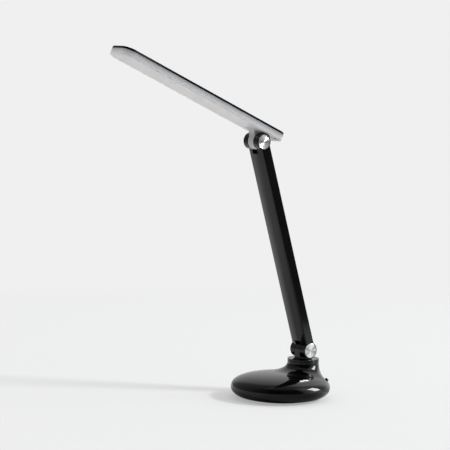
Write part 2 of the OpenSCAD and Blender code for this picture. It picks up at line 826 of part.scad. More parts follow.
// Tongue's flare: it widens to the underside in front and to the sides. Below arm_clear it is no
// wider than the tongue, so that the arm's fork passes when the head is folded
function concave(z, z0) = z <= z0 ? 0 : 1 - sqrt(1 - pow((z - z0) / (underside_z - z0), 2));
module tongue_flare(steps = 8) {
    z0 = 0.5;
    skin([for (i = [0:steps])
        let (z = z0 + (underside_z - z0) * cos(90 * i / steps),
             front = flare_front * concave(z, z0),
             side = flare_side * concave(z, arm_clear))
        round_ring(tongue_w / 2 + side, -barrel_r - front, barrel_r + 0.3 * front,
            0.4 + 0.6 * side, z, 4)]);
}

module at_head_screws() {
    for (s = [-1, 1]) translate([s * head_screw_x, head_screw_y]) children();
}

// Places of the posts that carry the LED board
module at_board_posts() {
    for (x = [-1, 1], t = [0.06, 0.5, 0.94])
        translate([x * board_post_x, lit_front + t * lit_len]) children();
}

module head_shell() {
    post_top = cover_base_z - 0.6;
    color(pale) at_head() difference() {
        union() {
            difference() {
                shell_form();
                // Inside, with a ledge for the diffuser and posts for the screws
                difference() {
                    translate([0, 0, underside_z + head_wall])
                        linear_extrude(shell_h) head_outline(head_wall);
                    at_head_screws() cylinder(r = head_bore_r + 1.4, h = post_top);
                    translate([0, 0, underside_z]) linear_extrude(diffuser_z - underside_z) difference() {
                        head_outline(0.5);
                        head_outline(head_wall + 1.5);
                    }
                }
            }
            tongue(-underside_z - 0.4);
            tongue_flare();
        }
        // The barrels and the fork turn beside the tongue
        for (s = [-1, 1]) translate([s * (tongue_w / 2 + arm_half), 0, 0])
            x_rod(barrel_r + 0.4, 2 * arm_half);
        x_rod(pin_r + run_gap, tongue_w + 2 * past);
        translate([0, lead_hole_y, -barrel_r - past])
            cylinder(r = lead_hole_r, h = 2 * barrel_r + shell_h + past);
        at_head_screws() {
            cylinder(r = head_bore_r, h = head_screw_z);
            cylinder(r = head_screw_r + 0.2, h = cover_base_z);
        }
    }
}

module head_cover() {
    edge = 0.8;
    color(black) at_head() difference() {
        union() {
            translate([0, 0, cover_base_z]) linear_extrude(cover_h - edge) head_outline(0);
            for (i = [0:3]) translate([0, 0, cover_base_z + cover_h - edge * (1 - i / 4)])
                linear_extrude(edge / 4) head_outline(edge * (1 - sqrt(1 - pow((i + 1) / 4, 2))));
            // Lip inside the pale shell
            translate([0, 0, cover_base_z - lip_h]) linear_extrude(lip_h) difference() {
                head_outline(head_wall + seat_gap);
                head_outline(head_wall + seat_gap + lip_t);
            }
        }
        translate([0, 0, cover_base_z - past]) linear_extrude(past + cover_h - head_wall) difference() {
            head_outline(head_wall + seat_gap + lip_t);
            at_head_screws() circle(3);
            at_board_posts() circle(board_post_r);
        }
        at_head_screws() cylinder(r = head_screw_r, h = cover_base_z + cover_h - 0.8);
        at_board_posts() cylinder(r = board_screw_r, h = cover_base_z + cover_h - 0.8);
    }
    // Posts reach down to the LED board
    color(black) at_head() at_board_posts() translate([0, 0, board_z + board_t])
        ring(board_post_r, board_screw_r, cover_base_z - board_z - board_t);
}

module head_screws() {
    color(steel) at_head() at_head_screws() translate([0, 0, head_screw_z - head_screw_head_t])
        screw(head_screw_r - 0.04, head_screw_head_r, head_screw_head_t, shell_h);
}

module led_board() {
    color("white") at_head() difference() {
        translate([-led_board_w / 2, lit_front, board_z]) cube([led_board_w, lit_len, board_t]);
        at_board_posts() cylinder(r = board_screw_r + 0.2, h = cover_base_z);
    }
}

module led_board_screws() {
    color(steel) at_head() at_board_posts() translate([0, 0, board_z - led_screw_head_t])
        screw(board_screw_r - 0.02, led_screw_head_r, led_screw_head_t, 3);
}

module leds() {
    color("gold") at_head() for (x = [-1, 1], i = [0:leds_per_row - 1])
        translate([x * head_w / 6 - led_w / 2, lit_front + (i + 0.5) * lit_len / leds_per_row - led_w / 2,
            board_z - led_h]) cube([led_w, led_w, led_h]);
}

module diffuser() {
    color("white") at_head() translate([0, 0, diffuser_z]) linear_extrude(diffuser_t) intersection() {
        head_outline(head_wall + 0.2);
        translate([-head_w / 2, lit_front - 20]) square([head_w, lit_len + 20 - 5]);
    }
}

// Up the tongue and along the head, to end under the LED board
module head_lead() {
    y = lead_hole_y;
    z = head_lead_z;
    color("firebrick") at_head() lead([[0, y, -8.5], [0, y, z - 3], [0, y - 0.8, z - 1], [0, y - 3, z],
        [0, -10, z], [0, lit_rear - 3, z]]);
}

base_shell();
foot_pad();
base_plate();
ballast();
base_screws();
control_board();
board_screws();
dc_jack();
jack_nut();
push_switch();
power_button();
base_leads();
swivel_washer();
turntable();
swivel_spring_washer();
swivel_nut();
neck_lead();
arm_body();
arm_cover();
arm_screws();
arm_stiffener();
arm_lead();
lower_pin();
lower_nut();
lower_friction_washers();
lower_disc_caps();
upper_pin();
upper_nut();
upper_friction_washers();
upper_disc_caps();
head_shell();
head_cover();
led_board();
led_board_screws();
leds();
diffuser();
head_screws();
head_lead();
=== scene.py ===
import json
import math

import bmesh
import bpy
from mathutils import Matrix, Vector


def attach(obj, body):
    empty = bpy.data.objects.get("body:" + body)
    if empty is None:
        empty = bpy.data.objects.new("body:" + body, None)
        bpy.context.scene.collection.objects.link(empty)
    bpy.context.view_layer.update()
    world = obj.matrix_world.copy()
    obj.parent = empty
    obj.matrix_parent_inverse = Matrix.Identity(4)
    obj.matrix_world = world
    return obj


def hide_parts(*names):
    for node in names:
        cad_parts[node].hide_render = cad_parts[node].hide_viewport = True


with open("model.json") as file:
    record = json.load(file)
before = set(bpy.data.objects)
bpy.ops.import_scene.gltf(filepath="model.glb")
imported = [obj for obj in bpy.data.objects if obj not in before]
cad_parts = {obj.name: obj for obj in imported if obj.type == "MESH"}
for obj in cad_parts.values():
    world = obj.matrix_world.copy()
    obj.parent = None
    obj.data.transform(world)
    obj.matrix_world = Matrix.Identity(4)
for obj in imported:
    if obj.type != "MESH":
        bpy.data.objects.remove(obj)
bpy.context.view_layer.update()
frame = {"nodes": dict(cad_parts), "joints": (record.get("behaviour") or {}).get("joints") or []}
print("frame loaded:", len(frame["nodes"]), "nodes")

# Forms are drawn in millimetres round the point that carries them, and set into the frame in metres
millimetre = 0.001
joints = {joint["name"]: joint for joint in frame["joints"]}
lowerPivot = Vector(joints["arm_fold"]["pos_m"])
upperPivot = Vector(joints["head_fold"]["pos_m"])
armLength = (upperPivot - lowerPivot).length / millimetre
armLean = math.atan2(lowerPivot.y - upperPivot.y, upperPivot.z - lowerPivot.z)
headTilt = math.radians(24)  # how far its tip rises above level
toMetres = Matrix.Scale(millimetre, 4)
basePlace = toMetres
neckPlace = Matrix.Translation((0, lowerPivot.y, 0)) @ toMetres
armPlace = Matrix.Translation(lowerPivot) @ Matrix.Rotation(armLean, 4, "X") @ toMetres
armTopPlace = Matrix.Translation(upperPivot) @ Matrix.Rotation(armLean, 4, "X") @ toMetres
headPlace = Matrix.Translation(upperPivot) @ Matrix.Rotation(-headTilt, 4, "X") @ toMetres

# camera: where it stands, and the pixel that the lower hinge falls on
camera = {
    "azimuth": 52.71,
    "elevation": 5.57,
    "roll": 1.02,
    "frameWidth": 450,
    "focalPixels": 1996.59,
    "hingePixel": (303.38, 349.2),
    "millimetresPerPixel": 1.37,
    "sensor": 36,
    "farthest": 100,
}


def viewAxes(azimuth, elevation, roll):
    a, e, r = (math.radians(angle) for angle in (azimuth, elevation, roll))
    right = Vector((math.cos(a), math.sin(a), 0))
    back = Vector((math.sin(a) * math.cos(e), -math.cos(a) * math.cos(e), math.sin(e)))
    up = back.cross(right)
    return right * math.cos(r) + up * math.sin(r), up * math.cos(r) - right * math.sin(r), back


def addCamera():
    right, up, back = viewAxes(camera["azimuth"], camera["elevation"], camera["roll"])
    middle = camera["frameWidth"] / 2
    step = camera["millimetresPerPixel"] * millimetre
    across = (camera["hingePixel"][0] - middle) * step
    above = (middle - camera["hingePixel"][1]) * step
    away = camera["focalPixels"] * step
    place = lowerPivot - right * across - up * above + back * away
    data = bpy.data.cameras.new("deskCamera")
    data.sensor_width = camera["sensor"]
    data.lens = camera["focalPixels"] / camera["frameWidth"] * camera["sensor"]
    data.clip_end = camera["farthest"]
    cameraObject = bpy.data.objects.new("deskCamera", data)
    facing = Matrix((right, up, back)).transposed().to_4x4()
    cameraObject.matrix_world = Matrix.Translation(place) @ facing
    bpy.context.collection.objects.link(cameraObject)
    bpy.context.scene.camera = cameraObject


addCamera()


# materials
def newMaterial(name, color, roughness, metallic=0.0):
    material = bpy.data.materials.new(name)
    material.use_nodes = True
    material.diffuse_color = (*color, 1)
    shader = material.node_tree.nodes["Principled BSDF"]
    shader.inputs["Base Color"].default_value = (*color, 1)
    shader.inputs["Roughness"].default_value = roughness
    shader.inputs["Metallic"].default_value = metallic
    return material, shader


def addNode(material, kind, **values):
    node = material.node_tree.nodes.new(kind)
    for key, value in values.items():
        if key in node.inputs:
            node.inputs[key].default_value = value
        else:
            setattr(node, key, value)
    return node


def joinUp(material, source, target):
    material.node_tree.links.new(source, target)


def objectPoint(material, place=None):
    point = addNode(material, "ShaderNodeTexCoord")
    if place is None:
        return point.outputs["Object"]
    # a Mapping node that turns the frame's metres into the part's own millimetres
    inverse = place.inverted()
    mapping = addNode(material, "ShaderNodeMapping", vector_type="POINT")
    mapping.inputs["Location"].default_value = inverse.to_translation()
    mapping.inputs["Rotation"].default_value = inverse.to_euler()
    mapping.inputs["Scale"].default_value = inverse.to_scale()
    joinUp(material, point.outputs["Object"], mapping.inputs["Vector"])
    return mapping.outputs["Vector"]


def addNoise(material, point, scale, detail=3.0):
    noise = addNode(material, "ShaderNodeTexNoise", Scale=scale, Detail=detail)
    joinUp(material, point, noise.inputs["Vector"])
    return noise.outputs["Fac"]


def remap(material, value, low, high, fromLow=0.3, fromHigh=0.7):
    spread = addNode(material, "ShaderNodeMapRange")
    spread.inputs["From Min"].default_value = fromLow
    spread.inputs["From Max"].default_value = fromHigh
    spread.inputs["To Min"].default_value = low
    spread.inputs["To Max"].default_value = high
    joinUp(material, value, spread.inputs["Value"])
    return spread.outputs["Result"]


def addRamp(material, value, stops):
    ramp = addNode(material, "ShaderNodeValToRGB")
    elements = ramp.color_ramp.elements
    while len(elements) < len(stops):
        elements.new(0.5)
    for element, (place, color) in zip(elements, stops):
        element.position = place
        element.color = (*color, 1)
    joinUp(material, value, ramp.inputs["Fac"])
    return ramp.outputs["Color"]


def addBump(material, shader, value, strength, distance):
    bump = addNode(material, "ShaderNodeBump", Strength=strength, Distance=distance)
    joinUp(material, value, bump.inputs["Height"])
    joinUp(material, bump.outputs["Normal"], shader.inputs["Normal"])


def mouldedPlastic(name, color, roughness, grain, grainDepth, spread=0.3):
    # moulded plastic: a little uneven in gloss and tone, with a fine grain in its surface
    material, shader = newMaterial(name, color, roughness)
    point = objectPoint(material)
    handling = addNoise(material, point, 38.0, 4.0)
    low, high = roughness * (1 - spread), roughness * (1 + spread)
    joinUp(material, remap(material, handling, low, high), shader.inputs["Roughness"])
    tone = addNoise(material, point, 95.0, 2.0)
    shades = [(0.3, [part * 0.85 for part in color]), (0.7, [min(1, part * 1.15) for part in color])]
    joinUp(material, addRamp(material, tone, shades), shader.inputs["Base Color"])
    addBump(material, shader, addNoise(material, point, grain, 2.0), 0.35, grainDepth)
    return material


def metal(name, color, roughness, streaks):
    material, shader = newMaterial(name, color, roughness, 1.0)
    point = objectPoint(material)
    brushed = addNoise(material, point, streaks, 4.0)
    uneven = remap(material, brushed, roughness * 0.7, roughness * 1.4)
    joinUp(material, uneven, shader.inputs["Roughness"])
    shades = [(0.3, [part * 0.9 for part in color]), (0.7, [min(1, part * 1.06) for part in color])]
    joinUp(material, addRamp(material, brushed, shades), shader.inputs["Base Color"])
    addBump(material, shader, brushed, 0.3, 0.00002)
    return material


pianoBlack = mouldedPlastic("pianoBlack", (0.0015, 0.0015, 0.0018), 0.045, 70.0, 0.00002, 0.35)
armBlack = mouldedPlastic("armBlack", (0.002, 0.002, 0.0022), 0.1, 300.0, 0.000004, 0.2)
turnedDisc = metal("turnedAluminium", (0.86, 0.86, 0.87), 0.12, 900.0)
zincSteel = metal("zincSteel", (0.55, 0.56, 0.58), 0.28, 1400.0)
castWeight = mouldedPlastic("castWeight", (0.16, 0.16, 0.165), 0.6, 1200.0, 0.0001)
foamPad = mouldedPlastic("foamPad", (0.03, 0.03, 0.03), 0.9, 2400.0, 0.0002)
innerBlack = mouldedPlastic("innerBlack", (0.02, 0.02, 0.021), 0.45, 1800.0, 0.00002)
nylon = mouldedPlastic("nylon", (0.72, 0.71, 0.67), 0.4, 1500.0, 0.00001)
solderMask = mouldedPlastic("solderMask", (0.015, 0.11, 0.045), 0.35, 1500.0, 0.00001)
ledStrip = mouldedPlastic("ledStrip", (0.80, 0.80, 0.79), 0.4, 1500.0, 0.00001)
phosphor = mouldedPlastic("phosphor", (0.75, 0.55, 0.10), 0.4, 3000.0, 0.00001)
opalSheet = mouldedPlastic("opalSheet", (0.83, 0.83, 0.83), 0.5, 1500.0, 0.00001)
leadSleeve = mouldedPlastic("leadSleeve", (0.03, 0.03, 0.03), 0.5, 1500.0, 0.00002)
print("materials made")


# forms
cutPast = 20  # carries a form well past the face that it cuts through or is cut off at
cutOver = 1  # how far it stands out of the face that it cuts into


def moveAll(bm, shift):
    bmesh.ops.translate(bm, verts=bm.verts, vec=shift)
    return bm


def turnAll(bm, degrees, axis):
    turn = Matrix.Rotation(math.radians(degrees), 3, axis)
    bmesh.ops.rotate(bm, verts=bm.verts, cent=(0, 0, 0), matrix=turn)
    return bm


def bevelEdges(bm, edges, width, segments=3):
    bmesh.ops.bevel(bm, geom=edges, offset=width, offset_type="OFFSET", segments=segments, profile=0.5,
                    affect="EDGES", material=-1, clamp_overlap=True)
    return bm


def block(low, high):
    bm = bmesh.new()
    bmesh.ops.create_cube(bm, size=1)
    low, high = Vector(low), Vector(high)
    bmesh.ops.scale(bm, verts=bm.verts, vec=high - low)
    return moveAll(bm, (low + high) / 2)


def rod(radius, length, edge=0.0, steps=96):
    # stands on z = 0; edge rounds both rims
    bm = bmesh.new()
    bmesh.ops.create_cone(bm, cap_ends=True, segments=steps, radius1=radius, radius2=radius,
                          depth=length)
    moveAll(bm, (0, 0, length / 2))
    if edge:
        rims = [e for e in bm.edges if abs(e.verts[0].co.z - e.verts[1].co.z) < 1e-6]
        bevelEdges(bm, rims, edge)
    return bm


def rodAlongX(radius, low, high, edge=0.0):
    bm = turnAll(rod(radius, high - low, edge), 90, "Y")
    return moveAll(bm, (low, 0, 0))


def turned(profile, steps=96, closed=False):
    # spins (radius, height) points round Z
    bm = bmesh.new()
    corners = [bm.verts.new((radius, 0, height)) for radius, height in profile]
    pairs = list(zip(corners, corners[1:]))
    if closed:
        pairs.append((corners[-1], corners[0]))
    edges = [bm.edges.new(pair) for pair in pairs]
    bmesh.ops.spin(bm, geom=corners + edges, cent=(0, 0, 0), axis=(0, 0, 1), angle=2 * math.pi,
                   steps=steps, use_merge=True)
    bmesh.ops.remove_doubles(bm, verts=bm.verts, dist=1e-5)
    bmesh.ops.recalc_face_normals(bm, faces=bm.faces)
    return bm


def nextRing(bm, ring, places):
    # extrudes a ring and moves the new ring's corners to their places
    inRing = set(ring)
    edges = {e for v in ring for e in v.link_edges if e.other_vert(v) in inRing}
    made = bmesh.ops.extrude_edge_only(bm, edges=list(edges))["geom"]
    fresh = {v for v in made if isinstance(v, bmesh.types.BMVert)}
    raised = [next(e.other_vert(v) for e in v.link_edges if e.other_vert(v) in fresh) for v in ring]
    for corner, place in zip(raised, places):
        corner.co = place
    return raised


def loft(rings, closed=False):
    # a skin through rings of points: capped at both ends, or closed from the last ring to the first
    bm = bmesh.new()
    first = bmesh.ops.create_circle(bm, cap_ends=False, radius=1, segments=len(rings[0]))["verts"]
    for corner, place in zip(first, rings[0]):
        corner.co = place
    last = first
    for places in rings[1:]:
        last = nextRing(bm, last, places)
    ends = [e for e in bm.edges if e.is_boundary]
    if closed:
        bmesh.ops.bridge_loops(bm, edges=ends)
    else:
        bmesh.ops.holes_fill(bm, edges=ends, sides=0)
    bmesh.ops.recalc_face_normals(bm, faces=bm.faces)
    return bm


def combine(bm, tool, how):
    # how: UNION, DIFFERENCE or INTERSECT
    objects = []
    for name, form in (("body", bm), ("tool", tool)):
        bmesh.ops.recalc_face_normals(form, faces=form.faces)
        mesh = bpy.data.meshes.new(name)
        form.to_mesh(mesh)
        form.free()
        objects.append(bpy.data.objects.new(name, mesh))
        bpy.context.collection.objects.link(objects[-1])
    step = objects[0].modifiers.new("combine", "BOOLEAN")
    step.operation = how
    step.solver = "EXACT"
    step.object = objects[1]
    bpy.context.view_layer.update()
    shaped = objects[0].evaluated_get(bpy.context.evaluated_depsgraph_get())
    result = bmesh.new()
    result.from_mesh(shaped.to_mesh())
    shaped.to_mesh_clear()
    for leftOver in objects:
        mesh = leftOver.data
        bpy.data.objects.remove(leftOver)
        bpy.data.meshes.remove(mesh)
    bmesh.ops.remove_doubles(result, verts=result.verts, dist=1e-4)
    return result


def flatten(piece):
    # large faces keep their own normal, so that they stay flat next to rounded edges
    step = piece.modifiers.new("flatten", "WEIGHTED_NORMAL")
    step.keep_sharp = True
    step.weight = 80
    bpy.context.view_layer.update()
    shaped = piece.evaluated_get(bpy.context.evaluated_depsgraph_get())
    weighted = bpy.data.meshes.new_from_object(shaped)
    rough = piece.data
    piece.modifiers.clear()
    piece.data = weighted
    bpy.data.meshes.remove(rough)
    weighted.name = piece.name


def makePiece(name, bm, place, material, body, slotName, *replaced, smooth=32):
    bmesh.ops.recalc_face_normals(bm, faces=bm.faces)
    mesh = bpy.data.meshes.new(name)
    bm.to_mesh(mesh)
    bm.free()
    mesh.transform(place)
    for face in mesh.polygons:
        face.use_smooth = True
    mesh.set_sharp_from_angle(angle=math.radians(smooth))
    mesh.materials.append(material)
    piece = bpy.data.objects.new(name, mesh)
    bpy.context.collection.objects.link(piece)
    flatten(piece)
    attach(piece, body)
    if replaced:
        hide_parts(*replaced)
    print("made", name, len(piece.data.polygons), "faces")


# base shell: a dome with an off-centre neck that flares out of it
base = {
    "radius": 67.5,
    "waist": 15.0,
    "dome": 35.0,
    "power": 2.5,
    "rim": 46.0,
    "foot": 1.5,
    "wall": 2.5,
    "plateRadius": 43.65,
    "neckY": lowerPivot.y / millimetre,
    "neckRadius": 21.6,
    "neckTop": 48.6,
    "neckWall": 2.7,
    "neckEdge": 0.3,
    "flare": 22.0,
    "flareLimit": 0.75,
    "flangeTop": 46.1,
    "flangeUnder": 43.1,
    "washerSeat": 17.0,
    "spigotBore": 9.06,
    "sides": 144,
    "upperSteps": 46,
    "lowerSteps": 16,
}
inlet = {"y": 62.0, "z": 17.0, "recess": 7.0, "bossRadius": 9.0, "bossDepth": 4.0, "socket": 5.55}
button = {"angle": 60.0, "reach": 63.5, "radius": 2.5, "proud": 2.2, "edge": 0.6, "dish": 0.06,
          "gap": 0.06, "guide": 6.2, "guideDepth": 9.5, "pocket": 4.4, "wall": 3.0, "flange": 4.1,
          "flangeThickness": 1.0}


def domeHeight(distance, inset=0.0):
    share = min(1.0, distance / (base["radius"] - inset)) ** base["power"]
    rise = base["dome"] - inset - base["waist"]
    return base["waist"] + rise * (1 - share) ** (1 / base["power"])


def domePoint(angle, t, inset=0.0):
    # t runs from 0 at the neck to 1 at the waist, in a direction from the neck's axis
    c, s = math.cos(angle), math.sin(angle)
    neck = base["neckRadius"] - inset
    reach = math.sqrt((base["radius"] - inset) ** 2 - (base["neckY"] * c) ** 2) - base["neckY"] * s
    far = reach - neck
    along = far * (1 - math.cos(math.pi * t)) / 2
    x, y = (neck + along) * c, base["neckY"] + (neck + along) * s
    z = domeHeight(math.hypot(x, y), inset)
    u = along / min(base["flare"], base["flareLimit"] * far)
    share = 1 - math.sqrt(1 - (1 - u) ** 2) if u < 1 else 0.0
    top = base["neckTop"] - base["neckWall"] - inset
    return Vector((x, y, z + (top - z) * share))


def baseRings(inset=0.0):
    angles = [2 * math.pi * i / base["sides"] for i in range(base["sides"])]

    def neckRing(radius, z):
        return [Vector((radius * math.cos(a), base["neckY"] + radius * math.sin(a), z)) for a in angles]

    def footRing(radius, z):
        return [waist.xy.normalized().to_3d() * radius + Vector((0, 0, z)) for waist in waistRing]

    rings = []
    if not inset:
        edge = base["neckEdge"]
        for turn in (90, 60, 30, 0):
            back = edge * (1 - math.cos(math.radians(turn)))
            down = edge * (1 - math.sin(math.radians(turn)))
            rings.append(neckRing(base["neckRadius"] - back, base["neckTop"] - down))
    for i in range(base["upperSteps"] + 1):
        rings.append([domePoint(a, i / base["upperSteps"], inset) for a in angles])
    waistRing = rings[-1]
    width = base["radius"] - inset - base["rim"]
    height = base["waist"] - base["foot"] - inset
    for i in range(1, base["lowerSteps"] + 1):
        turn = math.pi / 2 * i / base["lowerSteps"]
        radius = base["rim"] + width * math.cos(turn)
        rings.append(footRing(radius, base["waist"] - height * math.sin(turn)))
    return rings, neckRing, footRing


def makeBaseShell():
    rings, neckRing, footRing = baseRings()
    inner = baseRings(base["wall"])[0]
    rings.append(footRing(base["plateRadius"], base["foot"]))
    rings.append(footRing(base["plateRadius"], base["foot"] + base["wall"]))
    rings += inner[::-1]
    rings.append(neckRing(base["neckRadius"] - base["wall"], base["flangeUnder"]))
    rings.append(neckRing(base["spigotBore"], base["flangeUnder"]))
    rings.append(neckRing(base["spigotBore"], base["flangeTop"]))
    rings.append(neckRing(base["washerSeat"], base["flangeTop"]))
    rings.append(neckRing(base["washerSeat"], base["neckTop"]))
    shell = loft(rings, closed=True)
    # the inlet's boss and the button's guide end inside the wall
    midWall = base["wall"] / 2
    boss = atInlet(rod(inlet["bossRadius"], cutPast), -inlet["bossDepth"])
    shell = combine(shell, combine(boss, loft(baseRings(midWall)[0]), "INTERSECT"), "UNION")
    guide = atButton(rod(button["guide"], cutPast), -button["guideDepth"])
    shell = combine(shell, combine(guide, loft(baseRings(midWall)[0]), "INTERSECT"), "UNION")
    shell = combine(shell, atInlet(rod(inlet["recess"], cutPast), 0), "DIFFERENCE")
    hole = rod(inlet["socket"], cutPast)
    shell = combine(shell, atInlet(hole, -inlet["bossDepth"] - cutOver), "DIFFERENCE")
    bore = rod(button["radius"] + button["gap"], cutPast)
    shell = combine(shell, atButton(bore, -button["wall"] - cutOver), "DIFFERENCE")
    pocket = rod(button["pocket"], button["guideDepth"] - button["wall"] + cutOver)
    return combine(shell, atButton(pocket, -button["guideDepth"] - cutOver), "DIFFERENCE")


def atInlet(bm, start):
    # +Z of the form points out of the back of the base
    return moveAll(turnAll(moveAll(bm, (0, 0, start)), -90, "X"), (0, inlet["y"], inlet["z"]))


def atButton(bm, start):
    step = 0.5
    fall = domeHeight(button["reach"] - step) - domeHeight(button["reach"] + step)
    slope = math.degrees(math.atan(fall / (2 * step)))
    turnAll(moveAll(bm, (0, 0, start)), slope, "Y")
    moveAll(bm, (button["reach"], 0, domeHeight(button["reach"])))
    return turnAll(bm, button["angle"], "Z")


makePiece("baseShell", makeBaseShell(), basePlace, pianoBlack, "base", "gloss_black", "base_shell",
          smooth=40)


def makeButton():
    r, top, edge = button["radius"], button["proud"], button["edge"]
    under, flange = -button["wall"], button["flange"]
    foot = under - button["flangeThickness"]
    profile = [(0, foot), (flange, foot), (flange, under), (r, under)]
    for turn in (0, 30, 60, 90):
        a = math.radians(turn)
        profile.append((r - edge * (1 - math.cos(a)), top - edge * (1 - math.sin(a))))
    profile += [(r * 0.45, top - button["dish"] * 2 / 3), (0, top - button["dish"])]
    return atButton(turned(profile, 64), 0)


makePiece("powerButton", makeButton(), basePlace, pianoBlack, "button", "gloss_black", "power_button")


powerSocket = {"bore": 2.8, "boreDepth": 9.0, "flange": 6.4, "flangeTop": 1.0, "edge": 0.25,
               "barrel": 5.4, "barrelDepth": 12.0, "pin": 1.0, "pinGap": 0.1, "pinTip": 0.5}


def makeInletSocket():
    # panel socket: flange with a rounded rim, bore, and a barrel behind
    bore, flange, barrel = powerSocket["bore"], powerSocket["flange"], powerSocket["barrel"]
    top, edge = powerSocket["flangeTop"], powerSocket["edge"]
    floor, end = -powerSocket["boreDepth"], -powerSocket["barrelDepth"]
    profile = [(0, floor), (bore, floor), (bore, top - edge), (bore + edge, top), (flange - edge, top),
               (flange, top - edge), (flange, 0), (barrel, 0), (barrel, end), (0, end)]
    return atInlet(turned(profile, 64), 0)


def makeInletContact():
    # the pin in the middle, whose tip is level with the recess's floor
    radius, tip = powerSocket["pin"], powerSocket["pinTip"]
    foot = powerSocket["pinGap"] - powerSocket["boreDepth"]
    profile = [(0, foot), (radius, foot), (radius, -tip), (radius * 0.7, -tip * 0.2), (0, 0)]
    return atInlet(turned(profile, 32), 0)


makePiece("inletSocket", makeInletSocket(), basePlace, innerBlack, "base", "jack_black", "dc_jack")
makePiece("inletContact", makeInletContact(), basePlace, zincSteel, "base", "steel")


footPad = {"radius": 43.0, "thickness": 1.5, "edge": 0.4, "hole": 4.4, "holeReach": 37.5,
           "holeAngles": (30, 150, 270)}


def makeFootPad():
    radius, thickness, edge = footPad["radius"], footPad["thickness"], footPad["edge"]
    pad = turned([(0, 0), (radius - edge, 0), (radius - edge * 0.3, edge * 0.3), (radius, edge),
                  (radius, thickness), (0, thickness)], 128)
    for angle in footPad["holeAngles"]:
        hole = rod(footPad["hole"], thickness + 2 * cutOver)
        moveAll(hole, (footPad["holeReach"], 0, -cutOver))
        pad = combine(pad, turnAll(hole, angle, "Z"), "DIFFERENCE")
    return pad


makePiece("footPad", makeFootPad(), basePlace, foamPad, "base", "foam", "foot_pad")
print("base made")


# turntable: collar with the lower tongue on it
turntable = {
    "radius": 21.6,
    "top": 51.5,
    "thickness": 2.8,
    "edge": 0.45,
    "lowerEdge": 0.3,
    "hub": 16.6,
    "hubZ": 47.7,
    "spigot": 9.0,
    "spigotZ": 37.4,
    "hole": 5.0,
    "cap": 2.0,
    "leadHole": 1.8,
    "leadY": 6.4,
    "leadDrop": 4.0,
}
# root is how far a tongue runs into the form that it stands on
hinge = {"barrel": 11.1, "tongue": 11.1, "gap": 0.25, "pin": 3.06, "slotReach": 4.2, "edge": 0.45,
         "root": 0.8, "discRadius": 9.75, "discThickness": 1.8, "discProud": 0.3, "discGap": 0.15}


def tongueForm(length):
    # round about the pin and straight up to length, with soft rims
    r, half = hinge["barrel"], hinge["tongue"] / 2
    bm = block((-half, -r, -r), (half, r, length))
    lower = [e for e in bm.edges if all(v.co.z < -r + 0.01 for v in e.verts)
             and abs(e.verts[0].co.x - e.verts[1].co.x) > 1]
    bevelEdges(bm, lower, r - 0.001, 40)
    bmesh.ops.remove_doubles(bm, verts=bm.verts, dist=0.01)
    rims = [e for e in bm.edges if abs(e.verts[0].co.x - e.verts[1].co.x) < 0.01
            and not all(v.co.z > length - 0.01 for v in e.verts)]
    bevelEdges(bm, rims, hinge["edge"], 3)
    return bm


def makeTurntable():
    r, edge, top = turntable["radius"], turntable["edge"], turntable["top"]
    low, under = top - turntable["thickness"], turntable["lowerEdge"]
    profile = [(turntable["hole"], turntable["spigotZ"]), (turntable["spigot"], turntable["spigotZ"]),
               (turntable["spigot"], turntable["hubZ"]), (turntable["hub"], turntable["hubZ"]),
               (turntable["hub"], low), (r - under, low), (r - under * 0.3, low + under * 0.3),
               (r, low + under)]
    for turn in (0, 22.5, 45, 67.5, 90):
        a = math.radians(turn)
        profile.append((r - edge * (1 - math.cos(a)), top - edge * (1 - math.sin(a))))
    ceiling, pinHeight = top - turntable["cap"], lowerPivot.z / millimetre
    profile += [(0, top), (0, ceiling), (turntable["hole"], ceiling)]
    collar = turned(profile, 144, closed=True)
    tongue = turnAll(tongueForm(pinHeight - top + hinge["root"]), 180, "X")
    form = combine(collar, moveAll(tongue, (0, 0, pinHeight)), "UNION")
    lead = rod(turntable["leadHole"], 2 * cutPast)
    moveAll(lead, (0, turntable["leadY"], ceiling - turntable["leadDrop"]))
    form = combine(form, lead, "DIFFERENCE")
    pin = moveAll(rodAlongX(hinge["pin"], -cutPast, cutPast), (0, 0, pinHeight))
    return combine(form, pin, "DIFFERENCE")


makePiece("collar", makeTurntable(), neckPlace, pianoBlack, "turntable", "gloss_black", "turntable",
          smooth=35)
print("turntable made")


# arm: a box with a fork of two barrels at each end
arm = {
    "width": 30.6,
    "thickness": 15.5,
    "crown": 2.0,
    "setBack": 0.7,
    "frontRound": 2.5,
    "backRound": 1.2,
    "wall": 2.0,
    "coverThickness": 1.8,
    "coverEnd": 18.3,
    "coverMargin": 0.5,
    "coverGap": 0.15,
    "coverEdge": 0.25,
    "slotEdge": 0.3,
    "channelSide": 4.0,
    "channelEnd": 1.0,
    "screwInset": 8.0,
    "screwHole": 1.45,
    "screwSink": 2.6,
    "sinkDepth": 1.0,
}
coverHalf = arm["width"] / 2 - arm["backRound"] - arm["coverMargin"]


def arc(x, y, radius, start, end, steps):
    # angles from -Y towards +X
    turns = [start + (end - start) * i / steps for i in range(steps + 1)]
    return [(x + radius * math.sin(turn), y - radius * math.cos(turn)) for turn in turns]


